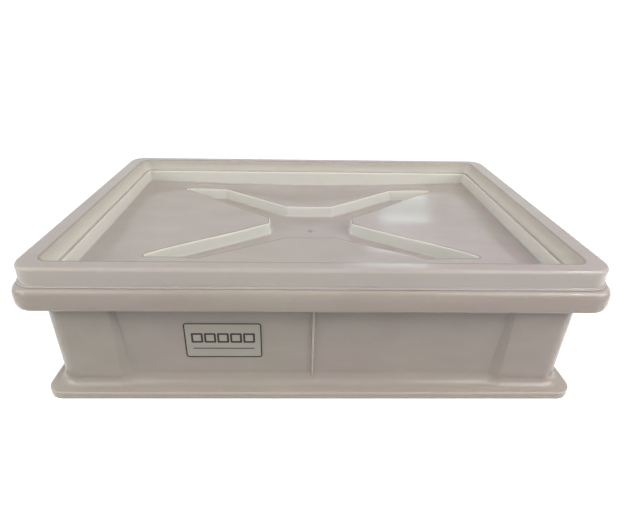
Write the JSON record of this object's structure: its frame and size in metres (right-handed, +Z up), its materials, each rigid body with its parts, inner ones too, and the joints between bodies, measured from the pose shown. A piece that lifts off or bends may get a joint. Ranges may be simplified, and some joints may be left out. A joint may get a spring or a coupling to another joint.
{
  "type": "dough proofing container",
  "caption": "Stackable dough proofing container with a flared foot, an overhanging rim and a lift-off recessed lid stiffened by a pressed cross.",
  "frame": {"origin": "centre of the ring that the tray stands on, on the ground", "axes": "+X along the long side, +Z up; the label is on the front wall, which faces -Y"},
  "size_m": [0.6, 0.4, 0.164],
  "materials": {
    "tray_plastic": "translucent natural polypropylene, moulded gloss",
    "lid_plastic": "translucent natural polypropylene, moulded gloss",
    "label_film": "thin write-on film, matt"
  },
  "bodies": {
    "box": {"box": "tray_plastic", "label": "label_film"},
    "lid": {"lid": "lid_plastic"}
  },
  "joints": [
    {"name": "lid_lift", "type": "slide", "parent": "box", "child": "lid", "axis": [0, 0, 1], "range_m": [0, 0.2]}
  ]
}
